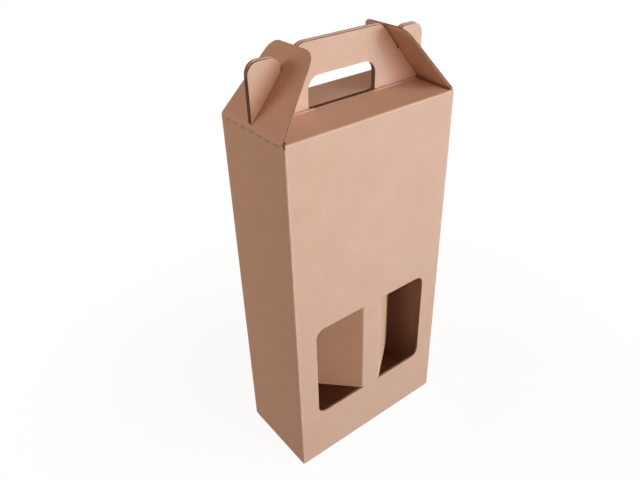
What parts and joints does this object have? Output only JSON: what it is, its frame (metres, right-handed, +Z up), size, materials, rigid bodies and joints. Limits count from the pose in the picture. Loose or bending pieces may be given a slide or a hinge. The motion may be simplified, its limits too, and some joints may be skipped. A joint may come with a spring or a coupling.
{
  "type": "bottle carrier box",
  "caption": "Tall kraft corrugated carrier box with a double handle, slotted lock flaps over the roof and front windows whose cut-outs fold in as bottle dividers.",
  "frame": {"origin": "middle of the base on the floor", "axes": "+X to the right across the front, +Y from front to back, +Z up"},
  "size_m": [0.18, 0.09, 0.4117],
  "materials": {
    "kraft_board": "matte"
  },
  "bodies": {
    "carton": {"carton": "kraft_board"},
    "left_lock_flap": {"left_lock_flap": "kraft_board"},
    "right_lock_flap": {"right_lock_flap": "kraft_board"},
    "left_divider": {"left_divider": "kraft_board"},
    "right_divider": {"right_divider": "kraft_board"}
  },
  "joints": [
    {"name": "left_lock_fold", "type": "hinge", "parent": "carton", "child": "left_lock_flap", "pos_m": [-0.09, 0, 0.353], "axis": [0, -1, 0], "range_deg": [0, 200]},
    {"name": "right_lock_fold", "type": "hinge", "parent": "carton", "child": "right_lock_flap", "pos_m": [0.09, 0, 0.353], "axis": [0, 1, 0], "range_deg": [0, 200]},
    {"name": "left_divider_fold", "type": "hinge", "parent": "carton", "child": "left_divider", "pos_m": [-0.011, -0.045, 0.11375], "axis": [0, 0, -1], "range_deg": [-46, 44]},
    {"name": "right_divider_fold", "type": "hinge", "parent": "carton", "child": "right_divider", "pos_m": [0.011, -0.045, 0.11375], "axis": [0, 0, 1], "range_deg": [-39, 51]}
  ]
}
